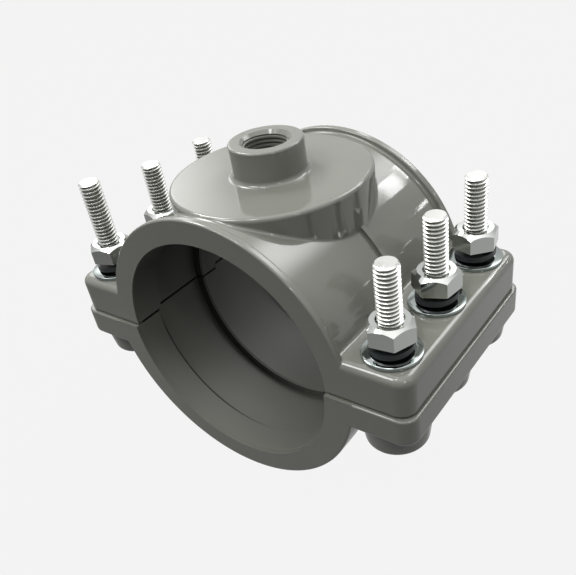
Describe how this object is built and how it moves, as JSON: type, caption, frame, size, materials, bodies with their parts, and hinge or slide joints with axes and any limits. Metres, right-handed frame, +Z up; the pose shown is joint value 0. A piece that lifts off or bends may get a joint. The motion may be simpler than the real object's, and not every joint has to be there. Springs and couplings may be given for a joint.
{
  "type": "tapping saddle",
  "caption": "Two-part moulded clamp that bolts round a plastic pressure pipe and carries a raised threaded outlet, for a branch or service connection.",
  "frame": {"origin": "on the pipe's axis, at the middle of the saddle's length", "axes": "+Y along the pipe, away from the front end of the picture; +Z up along the outlet's axis; +X to the right across the flanges"},
  "size_m": [0.1892, 0.108, 0.1447],
  "materials": {
    "saddle_plastic": "smooth glossy moulded grey",
    "seal_rubber": "matt black",
    "bolt_steel": "bright bare steel, threaded",
    "washer_steel": "bright polished",
    "black_steel": "blackened spring steel",
    "nut_steel": "satin sides, bright turned face"
  },
  "bodies": {
    "saddle": {"upper_saddle": "saddle_plastic", "lower_saddle": "saddle_plastic", "outlet_seal": "seal_rubber", "bolt_left_front": "bolt_steel", "bolt_left_middle": "bolt_steel", "bolt_left_rear": "bolt_steel", "bolt_right_front": "bolt_steel", "bolt_right_middle": "bolt_steel", "bolt_right_rear": "bolt_steel", "flat_washer_left_front": "washer_steel", "flat_washer_left_middle": "washer_steel", "flat_washer_left_rear": "washer_steel", "flat_washer_right_front": "washer_steel", "flat_washer_right_middle": "washer_steel", "flat_washer_right_rear": "washer_steel", "spring_washer_left_front": "black_steel", "spring_washer_left_middle": "black_steel", "spring_washer_left_rear": "black_steel", "spring_washer_right_front": "black_steel", "spring_washer_right_middle": "black_steel", "spring_washer_right_rear": "black_steel"},
    "turning_nut_left_front": {"nut_left_front": "nut_steel"},
    "turning_nut_left_middle": {"nut_left_middle": "nut_steel"},
    "turning_nut_left_rear": {"nut_left_rear": "nut_steel"},
    "turning_nut_right_front": {"nut_right_front": "nut_steel"},
    "turning_nut_right_middle": {"nut_right_middle": "nut_steel"},
    "turning_nut_right_rear": {"nut_right_rear": "nut_steel"}
  },
  "joints": [
    {"name": "nut_left_front_turn", "type": "hinge", "parent": "saddle", "child": "turning_nut_left_front", "pos_m": [-0.0785, -0.0376, 0.0256], "axis": [0, 0, 1], "continuous": true},
    {"name": "nut_left_middle_turn", "type": "hinge", "parent": "saddle", "child": "turning_nut_left_middle", "pos_m": [-0.0785, 0, 0.0256], "axis": [0, 0, 1], "continuous": true},
    {"name": "nut_left_rear_turn", "type": "hinge", "parent": "saddle", "child": "turning_nut_left_rear", "pos_m": [-0.0785, 0.0376, 0.0256], "axis": [0, 0, 1], "continuous": true},
    {"name": "nut_right_front_turn", "type": "hinge", "parent": "saddle", "child": "turning_nut_right_front", "pos_m": [0.0785, -0.0376, 0.0256], "axis": [0, 0, 1], "continuous": true},
    {"name": "nut_right_middle_turn", "type": "hinge", "parent": "saddle", "child": "turning_nut_right_middle", "pos_m": [0.0785, 0, 0.0256], "axis": [0, 0, 1], "continuous": true},
    {"name": "nut_right_rear_turn", "type": "hinge", "parent": "saddle", "child": "turning_nut_right_rear", "pos_m": [0.0785, 0.0376, 0.0256], "axis": [0, 0, 1], "continuous": true}
  ]
}
